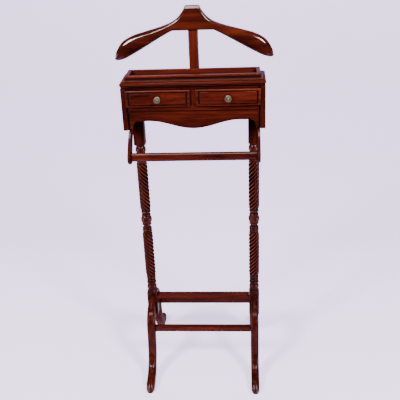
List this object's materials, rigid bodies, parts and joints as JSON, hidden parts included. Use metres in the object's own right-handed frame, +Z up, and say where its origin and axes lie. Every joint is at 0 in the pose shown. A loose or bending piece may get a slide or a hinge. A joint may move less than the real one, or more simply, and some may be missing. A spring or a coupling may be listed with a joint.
{
  "type": "valet stand",
  "caption": "Dark mahogany valet stand with rope-twist posts on curved legs, a drawer box with a galleried tray, a trouser bar and a shaped coat hanger.",
  "frame": {"origin": "on the floor, midway between the feet and on the plane through both posts' axes", "axes": "+Z up; the front, with the drawers, faces -Y; +X to the right as seen from the front"},
  "size_m": [0.477, 0.452, 1.2335],
  "materials": {
    "mahogany": "glossy red-brown varnish, darker in the grooves",
    "secondary_wood": "plain matt softwood",
    "aged_brass": "aged, worn bright on the high spots",
    "steel": "plain satin"
  },
  "bodies": {
    "stand": {"left_post": "mahogany", "right_post": "mahogany", "front_left_leg": "mahogany", "front_right_leg": "mahogany", "rear_left_leg": "mahogany", "rear_right_leg": "mahogany", "centre_stretcher": "mahogany", "front_stretcher": "mahogany", "rear_stretcher": "mahogany", "top_board": "mahogany", "left_side_panel": "mahogany", "right_side_panel": "mahogany", "back_panel": "secondary_wood", "bottom_board": "secondary_wood", "left_stile": "mahogany", "right_stile": "mahogany", "top_rail": "mahogany", "centre_stile": "mahogany", "bottom_rail": "mahogany", "apron": "mahogany", "left_guide": "secondary_wood", "centre_guide": "secondary_wood", "right_guide": "secondary_wood", "gallery_front_rail": "mahogany", "gallery_back_rail": "mahogany", "gallery_left_rail": "mahogany", "gallery_right_rail": "mahogany", "left_bar_arm": "mahogany", "right_bar_arm": "mahogany", "trouser_bar": "mahogany", "hanger": "mahogany", "upright": "mahogany", "lower_upright_screw": "steel", "upper_upright_screw": "steel"},
    "left_drawer": {"left_drawer_front": "mahogany", "left_drawer_left_wall": "secondary_wood", "left_drawer_right_wall": "secondary_wood", "left_drawer_back_wall": "secondary_wood", "left_drawer_bottom": "secondary_wood", "left_drawer_knob": "aged_brass", "left_drawer_knob_screw": "steel"},
    "right_drawer": {"right_drawer_front": "mahogany", "right_drawer_left_wall": "secondary_wood", "right_drawer_right_wall": "secondary_wood", "right_drawer_back_wall": "secondary_wood", "right_drawer_bottom": "secondary_wood", "right_drawer_knob": "aged_brass", "right_drawer_knob_screw": "steel"}
  },
  "joints": [
    {"name": "left_drawer_slide", "type": "slide", "parent": "stand", "child": "left_drawer", "axis": [0, -1, 0], "range_m": [0, 0.07]},
    {"name": "right_drawer_slide", "type": "slide", "parent": "stand", "child": "right_drawer", "axis": [0, -1, 0], "range_m": [0, 0.07]}
  ]
}
